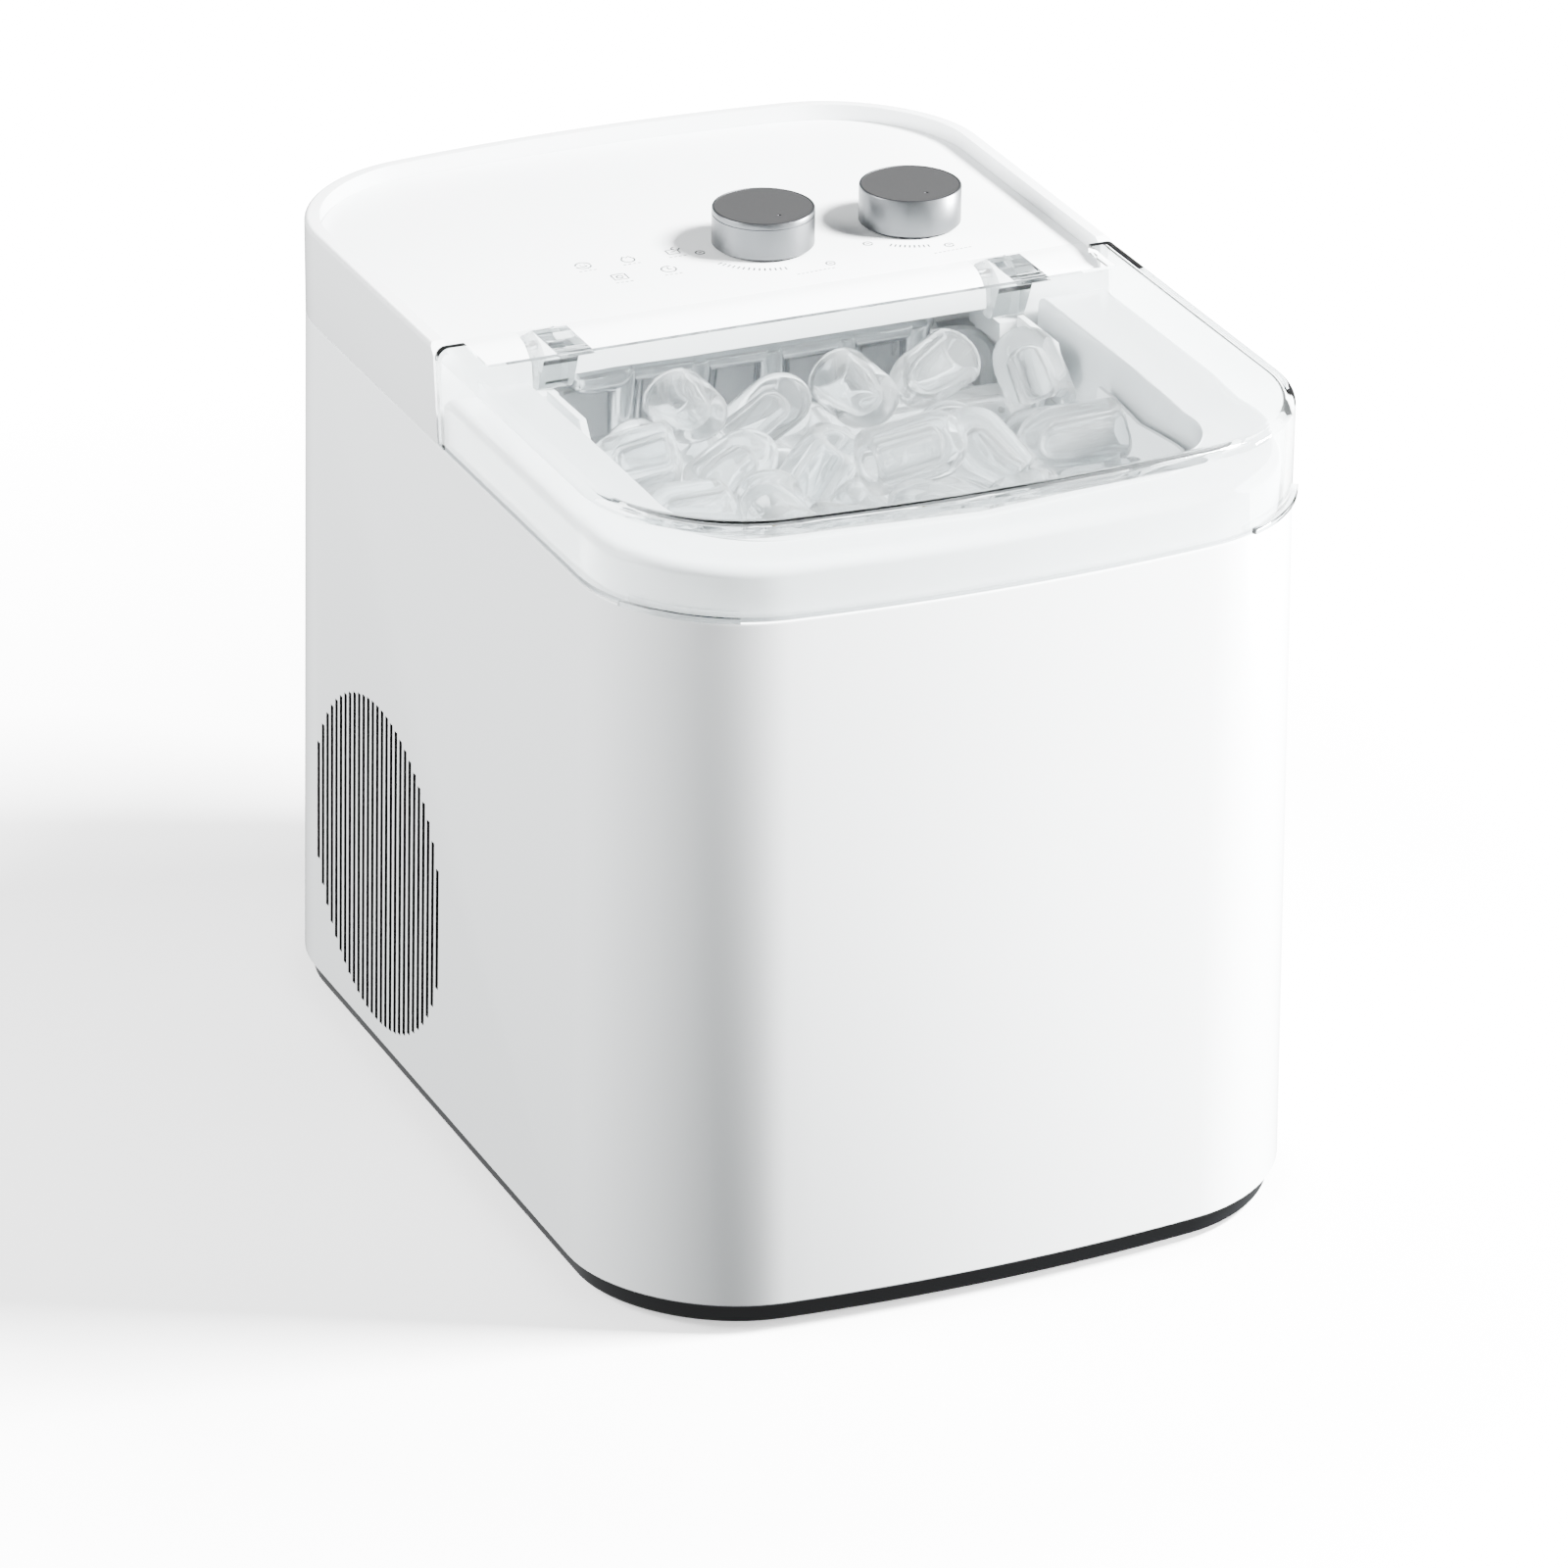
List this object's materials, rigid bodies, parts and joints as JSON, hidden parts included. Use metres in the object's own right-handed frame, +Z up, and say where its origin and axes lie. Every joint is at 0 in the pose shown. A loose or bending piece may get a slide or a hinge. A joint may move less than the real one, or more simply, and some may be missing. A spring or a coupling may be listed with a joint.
{
  "type": "countertop ice maker",
  "caption": "Countertop bullet ice maker with a clear hinged lid, two control knobs, lift-out ice basket, tipping water tray, fan and cooling parts.",
  "frame": {"origin": "on the floor under the middle of the machine", "axes": "+Z up, the front with the ice window faces -Y, +X to the right seen from the front"},
  "size_m": [0.2472, 0.3432, 0.285],
  "materials": {
    "base_pan": "gloss black",
    "compressor": "satin black paint",
    "condenser": "dark aluminium fins",
    "control_board": "green board",
    "control_panel": "satin white",
    "discharge_pipe": "copper pipe",
    "drain_plug": "dark rubber",
    "drain_tube": "milky silicone",
    "evaporator": "nickel plated copper",
    "fan_motor": "grey can",
    "fan_rotor": "black",
    "fan_shroud": "black",
    "filter_drier": "copper",
    "foam_jacket": "cream foam",
    "foot_front_left": "matt black",
    "foot_front_right": "matt black",
    "foot_rear_left": "matt black",
    "foot_rear_right": "matt black",
    "head_housing": "gloss white",
    "hinge_pin_left": "bare steel",
    "hinge_pin_right": "bare steel",
    "hot_gas_valve": "brass",
    "ice_basket": "pale grey",
    "ice_chamber_hood": "white",
    "ice_sensor_left": "dark tinted",
    "ice_sensor_right": "dark tinted",
    "ice_shovel": "pale grey",
    "knob_left": "spun, satin anodised",
    "knob_right": "spun, satin anodised",
    "knob_shaft_left": "bare brass",
    "knob_shaft_right": "bare brass",
    "lid": "clear plastic",
    "liquid_pipe": "copper pipe",
    "outer_shell": "gloss white",
    "power_board": "green board",
    "power_inlet": "black",
    "rear_panel": "white",
    "rear_screw_1": "bare steel",
    "rear_screw_2": "bare steel",
    "rear_screw_3": "bare steel",
    "rear_screw_4": "bare steel",
    "selector_switch_left": "plated",
    "selector_switch_right": "plated",
    "side_guard_left": "white",
    "side_guard_right": "white",
    "suction_pipe": "copper pipe",
    "top_collar": "white",
    "tray_drive_shaft": "bare steel",
    "tray_motor": "black",
    "tray_pivot_pin": "bare steel",
    "water_hose": "milky silicone",
    "water_pump": "black",
    "water_tank": "white",
    "water_tray": "pale grey"
  },
  "bodies": {
    "machine": {"base_pan": "base_pan", "compressor": "compressor", "condenser": "condenser", "control_board": "control_board", "control_panel": "control_panel", "discharge_pipe": "discharge_pipe", "drain_tube": "drain_tube", "evaporator": "evaporator", "fan_motor": "fan_motor", "fan_shroud": "fan_shroud", "filter_drier": "filter_drier", "foam_jacket": "foam_jacket", "foot_front_left": "foot_front_left", "foot_front_right": "foot_front_right", "foot_rear_left": "foot_rear_left", "foot_rear_right": "foot_rear_right", "head_housing": "head_housing", "hinge_pin_left": "hinge_pin_left", "hinge_pin_right": "hinge_pin_right", "hot_gas_valve": "hot_gas_valve", "ice_chamber_hood": "ice_chamber_hood", "ice_sensor_left": "ice_sensor_left", "ice_sensor_right": "ice_sensor_right", "liquid_pipe": "liquid_pipe", "outer_shell": "outer_shell", "power_board": "power_board", "power_inlet": "power_inlet", "rear_panel": "rear_panel", "rear_screw_1": "rear_screw_1", "rear_screw_2": "rear_screw_2", "rear_screw_3": "rear_screw_3", "rear_screw_4": "rear_screw_4", "selector_switch_left": "selector_switch_left", "selector_switch_right": "selector_switch_right", "side_guard_left": "side_guard_left", "side_guard_right": "side_guard_right", "suction_pipe": "suction_pipe", "top_collar": "top_collar", "tray_motor": "tray_motor", "tray_pivot_pin": "tray_pivot_pin", "water_hose": "water_hose", "water_pump": "water_pump", "water_tank": "water_tank"},
    "lid": {"lid": "lid"},
    "left_knob": {"knob_left": "knob_left", "knob_shaft_left": "knob_shaft_left"},
    "right_knob": {"knob_right": "knob_right", "knob_shaft_right": "knob_shaft_right"},
    "basket": {"ice_basket": "ice_basket"},
    "tray": {"water_tray": "water_tray", "tray_drive_shaft": "tray_drive_shaft"},
    "shovel": {"ice_shovel": "ice_shovel"},
    "fan": {"fan_rotor": "fan_rotor"},
    "plug": {"drain_plug": "drain_plug"}
  },
  "joints": [
    {"name": "lid_hinge", "type": "hinge", "parent": "machine", "child": "lid", "pos_m": [0, 0.0136, 0.2686], "axis": [-1, 0, 0], "range_deg": [0, 88]},
    {"name": "left_knob_turn", "type": "hinge", "parent": "machine", "child": "left_knob", "pos_m": [0.0175, 0.0585, 0.2715], "axis": [0, 0, 1], "range_deg": [-135, 135]},
    {"name": "right_knob_turn", "type": "hinge", "parent": "machine", "child": "right_knob", "pos_m": [0.0705, 0.0585, 0.2715], "axis": [0, 0, 1], "range_deg": [-135, 135]},
    {"name": "basket_lift", "type": "slide", "parent": "machine", "child": "basket", "axis": [0, 0, 1], "range_m": [0, 0.009]},
    {"name": "tray_tip", "type": "hinge", "parent": "machine", "child": "tray", "pos_m": [0, 0.05, 0.232], "axis": [1, 0, 0], "range_deg": [0, 80]},
    {"name": "shovel_sweep", "type": "hinge", "parent": "machine", "child": "shovel", "pos_m": [0, 0.05, 0.232], "axis": [1, 0, 0], "range_deg": [-60, 0]},
    {"name": "fan_spin", "type": "hinge", "parent": "machine", "child": "fan", "pos_m": [-0.08, 0.054, 0.074], "axis": [1, 0, 0], "continuous": true},
    {"name": "plug_turn", "type": "hinge", "parent": "machine", "child": "plug", "pos_m": [0, -0.08, 0.005], "axis": [0, 0, 1], "range_deg": [0, 90]}
  ],
  "couplings": [
    {"joint": "shovel_sweep", "follows": "tray_tip", "ratio": -0.75}
  ]
}
